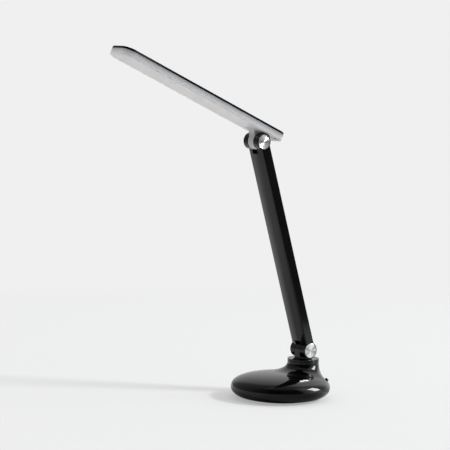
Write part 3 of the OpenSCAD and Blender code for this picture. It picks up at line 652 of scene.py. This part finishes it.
def armBox():
    # the front bows out and runs into round edges
    half, depth, crown = arm["width"] / 2, arm["thickness"] / 2, arm["crown"]
    front, back = arm["frontRound"], arm["backRound"]
    crownRadius = (half ** 2 + crown ** 2) / (2 * crown)
    middle = arm["setBack"]
    crownY = crownRadius - depth + middle
    edgeX = half - front
    edgeY = crownY - math.sqrt((crownRadius - front) ** 2 - edgeX ** 2)
    reach = math.asin(edgeX / (crownRadius - front))
    quarter = math.pi / 2
    section = arc(0, crownY, crownRadius, -reach, reach, 16)
    section += arc(edgeX, edgeY, front, reach, quarter, 8)[1:]
    section += arc(half - back, middle + depth - back, back, quarter, 2 * quarter, 6)
    section += arc(back - half, middle + depth - back, back, 2 * quarter, 3 * quarter, 6)
    section += arc(-edgeX, edgeY, front, 3 * quarter, 4 * quarter - reach, 8)[:-1]
    return loft([[Vector((x, y, z)) for x, y in section] for z in (0, armLength)])


def makeArmBody():
    half, depth, r = arm["width"] / 2, arm["thickness"] / 2, hinge["barrel"]
    front, back = arm["setBack"] - depth, arm["setBack"] + depth
    fork = hinge["tongue"] / 2 + hinge["gap"]
    slotEnd = r + hinge["slotReach"]
    form = armBox()
    for low, high in ((-cutPast, slotEnd), (armLength - slotEnd, armLength + cutPast)):
        slot = block((-fork, -cutPast, low), (fork, cutPast, high))
        form = combine(form, slot, "DIFFERENCE")
    corners = [e for e in form.edges if e.calc_face_angle(0) > math.radians(70)
               and slotEnd - 0.1 < min(e.verts[0].co.z, armLength - e.verts[0].co.z) < slotEnd + 0.1
               and slotEnd - 0.1 < min(e.verts[1].co.z, armLength - e.verts[1].co.z) < slotEnd + 0.1]
    bevelEdges(form, corners, arm["slotEdge"], 2)
    # channel for the lead, and the seat of the back cover
    deep = front + arm["wall"] + arm["crown"] / 2
    side, start = half - arm["channelSide"], slotEnd + arm["channelEnd"]
    channel = block((-side, deep, start), (side, back + cutOver, armLength - start))
    form = combine(form, channel, "DIFFERENCE")
    seat = coverHalf + arm["coverGap"]
    low, high = arm["coverEnd"] - arm["coverGap"], armLength - arm["coverEnd"] + arm["coverGap"]
    recess = block((-seat, back - arm["coverThickness"], low), (seat, back + cutOver, high))
    form = combine(form, recess, "DIFFERENCE")
    # the barrels stand a hair proud of the faces that they meet
    hair = 0.02
    discSeat = hinge["discThickness"] - hinge["discProud"]
    for z in (0, armLength):
        for turn in (0, 180):
            barrel = rodAlongX(r, fork - hair, half + hair, hinge["edge"])
            form = combine(form, moveAll(turnAll(barrel, turn, "Z"), (0, 0, z)), "UNION")
            dish = rodAlongX(hinge["discRadius"] + hinge["discGap"], half - discSeat, half + cutOver)
            form = combine(form, moveAll(turnAll(dish, turn, "Z"), (0, 0, z)), "DIFFERENCE")
        pin = rodAlongX(hinge["pin"], -cutPast, cutPast)
        form = combine(form, moveAll(pin, (0, 0, z)), "DIFFERENCE")
    return form


makePiece("armBody", makeArmBody(), armPlace, armBlack, "arm", "arm_black", "arm_body", smooth=30)


def makeArmCover():
    back, end = arm["setBack"] + arm["thickness"] / 2, arm["coverEnd"]
    form = block((-coverHalf, back - arm["coverThickness"], end), (coverHalf, back, armLength - end))
    rims = [e for e in form.edges if all(v.co.y > back - 0.01 for v in e.verts)]
    bevelEdges(form, rims, arm["coverEdge"], 2)
    first = end + arm["screwInset"]
    for z in (first, armLength - first):
        for radius, deep in ((arm["screwHole"], cutPast), (arm["screwSink"], arm["sinkDepth"])):
            hole = turnAll(rod(radius, deep + cutOver), 90, "X")
            form = combine(form, moveAll(hole, (0, back + cutOver, z)), "DIFFERENCE")
    return form


makePiece("armCover", makeArmCover(), armPlace, armBlack, "arm", "arm_black", "arm_cover")


discRings = {"pitch": 0.13, "depth": 0.022, "margin": 0.45, "edge": 0.25}


def makeDiscs():
    # silver caps with the fine rings that turning leaves
    r, top, edge = hinge["discRadius"], hinge["discThickness"], discRings["edge"]
    face = r - discRings["margin"]
    count = int(face / discRings["pitch"])
    profile = [(0, 0), (r, 0), (r, top - edge), (r - edge * 0.32, top - edge * 0.32), (r - edge, top)]
    for i in range(count + 1):
        profile.append((face - face * i / count, top - discRings["depth"] * (i % 2)))
    seat = arm["width"] / 2 - hinge["discThickness"] + hinge["discProud"]
    pair = bmesh.new()
    for angle in (90, -90):
        disc = turnAll(moveAll(turned(profile, 120), (0, 0, seat)), angle, "Y")
        mesh = bpy.data.meshes.new("disc")
        disc.to_mesh(mesh)
        disc.free()
        pair.from_mesh(mesh)
        bpy.data.meshes.remove(mesh)
    return pair


for name, place in (("lower", armPlace), ("upper", armTopPlace)):
    makePiece(name + "Discs", makeDiscs(), place, turnedDisc, "arm", "disc_metal", name + "_disc_caps",
              smooth=8)
print("arm made")


# head: pale shell with its tongue, and black cover
head = {
    "length": 283.5,
    "width": 44.0,
    "rear": 28.0,
    "corner": 14.0,
    "under": 11.6,
    "shell": 8.2,
    "cover": 2.9,
    "lowerEdge": 1.0,
    "upperEdge": 0.45,
    "seam": 0.12,
    "wall": 1.6,
    "flareFront": 12.0,
    "flareSide": 14.0,
    "flareStart": 0.5,
    "flareBack": 0.3,
    "flareCorner": 0.4,
    "flareSoften": 0.6,
    "flareRoot": 0.6,
    "armClear": 8.85,
    "barrelClear": 0.4,
    "lipThickness": 1.2,
    "lipHeight": 1.2,
    "lipEdge": 0.2,
    "lipRoot": 0.6,
    "lipGap": 0.15,
    "screwX": 12.4,
    "screwY": 17.9,
    "screwBoss": 4.6,
    "bossStart": 0.5,
    "bossHeight": 5.3,
    "screwSink": 3.2,
    "sinkDepth": 3.0,
    "screwHole": 1.6,
}


def makePaleShell():
    # milky plastic, with painted shade: its side wall is painted darker towards the black cover and
    # darkest at the seam, as the shade under the cover's edge
    under = head["under"]
    material, shader = newMaterial("paleShell", (0.76, 0.76, 0.77), 0.36)
    point = objectPoint(material, headPlace)
    split = addNode(material, "ShaderNodeSeparateXYZ")
    joinUp(material, point, split.inputs["Vector"])
    depth = remap(material, split.outputs["Z"], 0.0, 1.0, under, under + head["shell"])
    # painted shade: light low on the wall, darker up towards the cover, nearly black at the seam
    wall = addRamp(material, depth, [(0.0, (0.81, 0.79, 0.785)), (0.03, (0.92, 0.91, 0.91)),
                                     (0.25, (0.88, 0.875, 0.88)), (0.65, (0.67, 0.675, 0.695)),
                                     (0.93, (0.46, 0.465, 0.485)), (1.0, (0.22, 0.225, 0.235))])
    # painted shade: the tongue and the flare below the underside are painted greyer, as the shade
    # between the head and the arm
    tongueShade = remap(material, split.outputs["Z"], 1.0, 0.0, under - 0.4, under - 0.02)
    shadedTongue = addNode(material, "ShaderNodeMix", data_type="RGBA", blend_type="MULTIPLY")
    shadedTongue.inputs["B"].default_value = (0.70, 0.71, 0.725, 1)
    joinUp(material, tongueShade, shadedTongue.inputs["Factor"])
    joinUp(material, wall, shadedTongue.inputs["A"])
    wall = shadedTongue.outputs["Result"]
    cloud = addNoise(material, point, 0.05, 2.0)
    tint = addRamp(material, cloud, [(0.3, (0.965, 0.965, 0.96)), (0.7, (1, 1, 1))])
    mixed = addNode(material, "ShaderNodeMix", data_type="RGBA", blend_type="MULTIPLY")
    mixed.inputs["Factor"].default_value = 1
    joinUp(material, wall, mixed.inputs["A"])
    joinUp(material, tint, mixed.inputs["B"])
    joinUp(material, mixed.outputs["Result"], shader.inputs["Base Color"])
    gloss = addNoise(material, point, 0.08, 3.0)
    joinUp(material, remap(material, gloss, 0.3, 0.42), shader.inputs["Roughness"])
    addBump(material, shader, addNoise(material, point, 1.6, 2.0), 0.25, 0.000008)
    shader.inputs["Subsurface Weight"].default_value = 0.45
    shader.inputs["Subsurface Radius"].default_value = (0.004, 0.004, 0.004)
    shader.inputs["Subsurface Scale"].default_value = 0.6
    return material


paleShell = makePaleShell()


def headPlate(low, high, inset, lowerRound, upperRound, segments=6):
    half = head["width"] / 2 - inset
    bm = block((-half, head["rear"] - head["length"] + inset, low), (half, head["rear"] - inset, high))
    upright = [e for e in bm.edges if abs(e.verts[0].co.z - e.verts[1].co.z) > 0.01]
    bevelEdges(bm, upright, head["corner"] - inset, 20)
    for level, width in ((low, lowerRound), (high, upperRound)):
        if width:
            rims = [e for e in bm.edges if all(abs(v.co.z - level) < 0.001 for v in e.verts)]
            bevelEdges(bm, rims, width, segments)
    return bm


def flareRings(steps=26, corners=48):
    # concave from the tongue to the underside: forwards, and above the fork sideways too
    start, under, r = head["flareStart"], head["under"], hinge["barrel"]

    def concave(z, z0):
        return 0.0 if z <= z0 else 1 - math.sqrt(1 - min(1.0, (z - z0) / (under - z0)) ** 2)

    rings = []
    for i in range(steps + 1):
        z = start + (under - start) * math.sin(math.pi / 2 * i / steps)
        front = head["flareFront"] * concave(z, start)
        back = head["flareBack"] * front
        side = head["flareSide"] * concave(z, head["armClear"])
        halfX, halfY = hinge["tongue"] / 2 + side, r + (back + front) / 2
        middleY = (back - front) / 2
        radius = head["flareCorner"] + head["flareSoften"] * side
        ring = []
        for j in range(corners):
            a = 2 * math.pi * (j + 0.5) / corners
            c, s = math.cos(a), math.sin(a)
            ring.append(Vector((math.copysign(halfX - radius, c) + radius * c,
                                middleY + math.copysign(halfY - radius, s) + radius * s, z)))
        rings.append(ring)
    last = [point + Vector((0, 0, head["flareRoot"])) for point in rings[-1]]
    return rings + [last]


def makeHeadShell():
    under, top = head["under"], head["under"] + head["shell"]
    shell = headPlate(under, top, 0, head["lowerEdge"], head["seam"])
    hollow = headPlate(under + head["wall"], top + cutOver, head["wall"], 0, 0)
    shell = combine(shell, hollow, "DIFFERENCE")
    shell = combine(shell, tongueForm(under + hinge["root"]), "UNION")
    flare = loft(flareRings())
    for side in (-1, 1):
        clear = rodAlongX(hinge["barrel"] + head["barrelClear"], hinge["tongue"] / 2, 2 * cutPast)
        if side < 0:
            turnAll(clear, 180, "Z")
        flare = combine(flare, clear, "DIFFERENCE")
    shell = combine(shell, flare, "UNION")
    for x in (-head["screwX"], head["screwX"]):
        boss = rod(head["screwBoss"], head["bossHeight"])
        moveAll(boss, (x, head["screwY"], under + head["bossStart"]))
        shell = combine(shell, boss, "UNION")
        for radius, deep in ((head["screwSink"], head["sinkDepth"]), (head["screwHole"], cutPast)):
            hole = moveAll(rod(radius, deep + cutOver), (x, head["screwY"], under - cutOver))
            shell = combine(shell, hole, "DIFFERENCE")
    shell = combine(shell, rodAlongX(hinge["pin"], -cutPast, cutPast), "DIFFERENCE")
    lead = rod(turntable["leadHole"], 2 * cutPast)
    moveAll(lead, (0, turntable["leadY"], -hinge["barrel"] - cutOver))
    return combine(shell, lead, "DIFFERENCE")


makePiece("headShell", makeHeadShell(), headPlace, paleShell, "head", "pale_shell", "head_shell")


def makeHeadCover():
    low, top = head["under"] + head["shell"], head["under"] + head["shell"] + head["cover"]
    lipInset = head["wall"] + head["lipGap"]
    form = headPlate(low, top, 0, head["seam"], head["upperEdge"])
    lip = headPlate(low - head["lipHeight"], low + head["lipRoot"], lipInset, head["lipEdge"], 0, 2)
    form = combine(form, lip, "UNION")
    pocket = headPlate(low - cutPast, top - head["wall"], lipInset + head["lipThickness"], 0, 0)
    return combine(form, pocket, "DIFFERENCE")


makePiece("headCover", makeHeadCover(), headPlace, pianoBlack, "head", "gloss_black", "head_cover")
print("head made")

# finishes of the CAD nodes that stay
finishes = {
    "base_plate": innerBlack, "ballast": castWeight, "base_screws": zincSteel,
    "control_board": solderMask, "board_screws": zincSteel, "jack_nut": zincSteel,
    "push_switch": innerBlack, "base_leads": leadSleeve, "swivel_washer": nylon,
    "swivel_spring_washer": zincSteel, "swivel_nut": zincSteel, "neck_lead": leadSleeve,
    "arm_screws": zincSteel, "arm_stiffener": zincSteel, "arm_lead": leadSleeve,
    "lower_pin": zincSteel, "lower_nut": zincSteel, "lower_friction_washers": nylon,
    "upper_pin": zincSteel, "upper_nut": zincSteel, "upper_friction_washers": nylon,
    "led_board": ledStrip, "led_board_screws": zincSteel, "leds": phosphor, "diffuser": opalSheet,
    "head_screws": zincSteel, "head_lead": leadSleeve,
}
for nodeName, finish in finishes.items():
    for slot in frame["nodes"][nodeName].material_slots:
        slot.material = finish
print("finishes set:", len(finishes))

# studio
studio = {
    "floorSize": 60.0,
    "tableEdge": (0.51, 0.55),
    "nearFloor": (0.2, 0.45),
    "nearGloss": 0.8,
    "background": 0.87,
    "skyLight": 1.0,
    "skyLow": 0.25,
    "skyHigh": 0.8,
    "floorColor": 0.575,
    "whiteFloor": 0.89,
    "bounce": 0.8,
    "edgeNear": 0.8,
    "edgeFar": 1.25,
    "overhead": 0.22,
    "overheadStart": 0.80,
    "windowAzimuth": 147.0,
    "windowElevation": 30.0,
    "windowDistance": 2.2,
    "windowSize": (0.75, 1.3),
    "windowWatts": 42.0,
    "windowColor": (0.92, 0.96, 1.0),
    "softWatts": 14.0,
    "softColor": (0.82, 0.92, 1.0),
    "shadow": 0.57,
    "sunAzimuth": 126.0,
    "sunElevation": 36.0,
    "sunStrength": 2.9,
    "sunAngle": 11.0,
}
# levels round about, by azimuth from the front (-Y) towards +X: what gloss sees of a white backdrop,
# dim walls and the dark room behind the camera; what it sees of the floor; the light on everything
# else; and the floor far off
walls = [(-180, 0.55), (-160, 1.05), (-140, 0.75), (-112, 0.62), (-88, 0.26), (-30, 0.2), (0, 0.08),
         (35, 0.01), (100, 0.03), (118, 0.6), (134, 1.2), (156, 0.9), (168, 0.4), (180, 0.55)]
floorGloss = [(-180, 0.8), (-140, 0.9), (-110, 0.95), (-75, 0.95), (-50, 0.75), (0, 0.6), (40, 0.4),
              (95, 0.3), (120, 0.55), (140, 0.95), (160, 0.6), (180, 0.8)]
roomLight = [(-180, 0.95), (-120, 0.95), (-80, 0.5), (-30, 0.2), (60, 0.15), (110, 0.4), (150, 1.0),
             (180, 0.95)]
farFloor = [(-180, 0.7), (-110, 0.7), (-60, 0.4), (0, 0.1), (90, 0.06), (140, 0.08), (165, 0.4),
            (180, 0.7)]


def mathNode(tree, operation, *values):
    node = tree.nodes.new("ShaderNodeMath")
    node.operation = operation
    for socket, value in zip(node.inputs, values):
        setSocket(tree, socket, value)
    return node.outputs["Value"]


def setSocket(tree, socket, value):
    if isinstance(value, bpy.types.NodeSocket):
        tree.links.new(value, socket)
    else:
        socket.default_value = value


def mixLevels(tree, share, low, high):
    node = tree.nodes.new("ShaderNodeMix")
    node.data_type = "FLOAT"
    for name, value in (("Factor", share), ("A", low), ("B", high)):
        setSocket(tree, node.inputs[name], value)
    return node.outputs["Result"]


def smoothStep(tree, value, low, high):
    node = tree.nodes.new("ShaderNodeMapRange")
    node.interpolation_type = "SMOOTHSTEP"
    node.inputs["From Min"].default_value = low
    node.inputs["From Max"].default_value = high
    tree.links.new(value, node.inputs["Value"])
    return node.outputs["Result"]


def levelByAzimuth(tree, split, levels):
    # azimuth 0 is the front (-Y) and 90 is the +X side, as for the camera
    ahead = mathNode(tree, "MULTIPLY", split.outputs["Y"], -1.0)
    angle = mathNode(tree, "ARCTAN2", split.outputs["X"], ahead)
    share = mathNode(tree, "MULTIPLY_ADD", angle, 0.5 / math.pi, 0.5)
    ramp = tree.nodes.new("ShaderNodeValToRGB")
    ramp.color_ramp.interpolation = "EASE"
    elements = ramp.color_ramp.elements
    while len(elements) < len(levels):
        elements.new(0.5)
    for element, (azimuth, level) in zip(elements, levels):
        element.position = azimuth / 360 + 0.5
        element.color = (level / 2, level / 2, level / 2, 1)
    tree.links.new(share, ramp.inputs["Fac"])
    return mathNode(tree, "MULTIPLY", ramp.outputs["Color"], 2.0)


def makeWorld():
    # plain to the camera, soft light from above and from the backdrop's side, and a room to gloss
    world = bpy.data.worlds.new("studio")
    bpy.context.scene.world = world
    world.use_nodes = True
    tree = world.node_tree
    tree.nodes.clear()
    split = tree.nodes.new("ShaderNodeSeparateXYZ")
    tree.links.new(tree.nodes.new("ShaderNodeTexCoord").outputs["Generated"], split.inputs["Vector"])
    overhead = smoothStep(tree, split.outputs["Z"], studio["overheadStart"], 1.0)
    gloss = mixLevels(tree, overhead, levelByAzimuth(tree, split, walls), studio["overhead"])
    rays = tree.nodes.new("ShaderNodeLightPath")
    above = smoothStep(tree, split.outputs["Z"], studio["skyLow"], studio["skyHigh"])
    light = mixLevels(tree, above, levelByAzimuth(tree, split, roomLight), studio["skyLight"])
    level = mixLevels(tree, rays.outputs["Is Glossy Ray"], light, gloss)
    direct = mathNode(tree, "MAXIMUM", rays.outputs["Is Camera Ray"],
                      rays.outputs["Is Transmission Ray"])
    level = mixLevels(tree, direct, level, studio["background"])
    background = tree.nodes.new("ShaderNodeBackground")
    tree.links.new(level, background.inputs["Strength"])
    background.inputs["Color"].default_value = (1, 1, 1, 1)
    output = tree.nodes.new("ShaderNodeOutputWorld")
    tree.links.new(background.outputs["Background"], output.inputs["Surface"])


def makeFloor():
    # pale near the lamp, where it keeps the shadow; further off it is plain background to the camera
    material = bpy.data.materials.new("paleFloor")
    material.use_nodes = True
    material.cycles.emission_sampling = "NONE"  # it is too wide to be sampled as a lamp
    tree = material.node_tree
    tree.nodes.clear()
    point = tree.nodes.new("ShaderNodeTexCoord").outputs["Object"]
    distance = tree.nodes.new("ShaderNodeVectorMath")
    distance.operation = "LENGTH"
    tree.links.new(point, distance.inputs[0])
    split = tree.nodes.new("ShaderNodeSeparateXYZ")
    tree.links.new(point, split.inputs["Vector"])
    rays = tree.nodes.new("ShaderNodeLightPath")
    seenByGloss = rays.outputs["Is Glossy Ray"]
    seenByCamera = mathNode(tree, "MAXIMUM", rays.outputs["Is Camera Ray"],
                            rays.outputs["Is Transmission Ray"])
    # painted shade: the floor that gloss sees is a little darker close to the lamp, as the lamp's shade
    # on it
    away = smoothStep(tree, distance.outputs["Value"], *studio["nearFloor"])
    near = mathNode(tree, "SUBTRACT", 1.0, away)
    dimmed = mathNode(tree, "MULTIPLY_ADD", near, studio["nearGloss"] - 1, 1.0)
    dimmed = mathNode(tree, "MULTIPLY", dimmed, studio["floorColor"] / studio["whiteFloor"])
    glossLevel = mathNode(tree, "MULTIPLY", levelByAzimuth(tree, split, floorGloss), dimmed)
    diffuse = tree.nodes.new("ShaderNodeBsdfDiffuse")
    level = mixLevels(tree, seenByGloss, studio["floorColor"], glossLevel)
    tree.links.new(level, diffuse.inputs["Color"])
    farLevel = levelByAzimuth(tree, split, farFloor)
    far = smoothStep(tree, distance.outputs["Value"], studio["edgeNear"], studio["edgeFar"])
    seen = mathNode(tree, "MAXIMUM", seenByCamera, seenByGloss)
    # a dim room past the table's edge, for gloss and for the light on the lamp
    past = smoothStep(tree, split.outputs["X"], *studio["tableEdge"])
    # the light that the table sends up to the lamp is one plain level, which lowers the grain
    bounced = mathNode(tree, "SUBTRACT", 1.0, seen)
    onTable = mathNode(tree, "MULTIPLY", bounced, mathNode(tree, "SUBTRACT", 1.0, past))
    glowLevel = mixLevels(tree, onTable, farLevel, studio["bounce"])
    glow = tree.nodes.new("ShaderNodeEmission")
    strength = mixLevels(tree, seenByCamera, glowLevel, studio["background"])
    tree.links.new(strength, glow.inputs["Strength"])
    dim = mathNode(tree, "MULTIPLY", past, mathNode(tree, "SUBTRACT", 1.0, seenByCamera))
    far = mathNode(tree, "MAXIMUM", mathNode(tree, "MULTIPLY", far, seen), dim)
    # near the lamp the camera sees a share of plain background, which softens the shadow
    plain = mathNode(tree, "MULTIPLY", seenByCamera, 1 - studio["shadow"])
    share = mathNode(tree, "MAXIMUM", mathNode(tree, "MAXIMUM", plain, far), bounced)
    mixed = tree.nodes.new("ShaderNodeMixShader")
    tree.links.new(share, mixed.inputs["Fac"])
    tree.links.new(diffuse.outputs["BSDF"], mixed.inputs[1])
    tree.links.new(glow.outputs["Emission"], mixed.inputs[2])
    output = tree.nodes.new("ShaderNodeOutputMaterial")
    tree.links.new(mixed.outputs["Shader"], output.inputs["Surface"])
    bm = bmesh.new()
    bmesh.ops.create_grid(bm, x_segments=1, y_segments=1, size=studio["floorSize"] / 2)
    mesh = bpy.data.meshes.new("floor")
    bm.to_mesh(mesh)
    bm.free()
    mesh.materials.append(material)
    floor = bpy.data.objects.new("floor", mesh)
    bpy.context.collection.objects.link(floor)
    return floor


def addWindow(name, watts, color, glossOnly):
    # the window as gloss shows it, and its soft light on everything else
    light = bpy.data.lights.new(name, "AREA")
    light.shape = "RECTANGLE"
    light.size, light.size_y = studio["windowSize"]
    light.energy = watts
    light.color = color
    window = bpy.data.objects.new(name, light)
    right, up, back = viewAxes(studio["windowAzimuth"], studio["windowElevation"], 0)
    facing = Matrix((right, up, back)).transposed().to_4x4()
    window.matrix_world = Matrix.Translation(back * studio["windowDistance"]) @ facing
    window.visible_camera = False
    window.visible_glossy = glossOnly
    window.visible_diffuse = not glossOnly
    bpy.context.collection.objects.link(window)


def addSun(floor):
    # lights the floor alone, for the lamp's soft shadow on it
    light = bpy.data.lights.new("floorSun", "SUN")
    light.energy = studio["sunStrength"]
    light.angle = math.radians(studio["sunAngle"])
    sun = bpy.data.objects.new("floorSun", light)
    right, up, back = viewAxes(studio["sunAzimuth"], studio["sunElevation"], 0)
    sun.matrix_world = Matrix((right, up, back)).transposed().to_4x4()
    bpy.context.collection.objects.link(sun)
    floorOnly = bpy.data.collections.new("floorOnly")
    floorOnly.objects.link(floor)
    sun.light_linking.receiver_collection = floorOnly


makeWorld()
addSun(makeFloor())
addWindow("window", studio["windowWatts"], studio["windowColor"], True)
addWindow("softLight", studio["softWatts"], studio["softColor"], False)
bpy.context.scene.view_settings.view_transform = "Standard"
print("studio made")
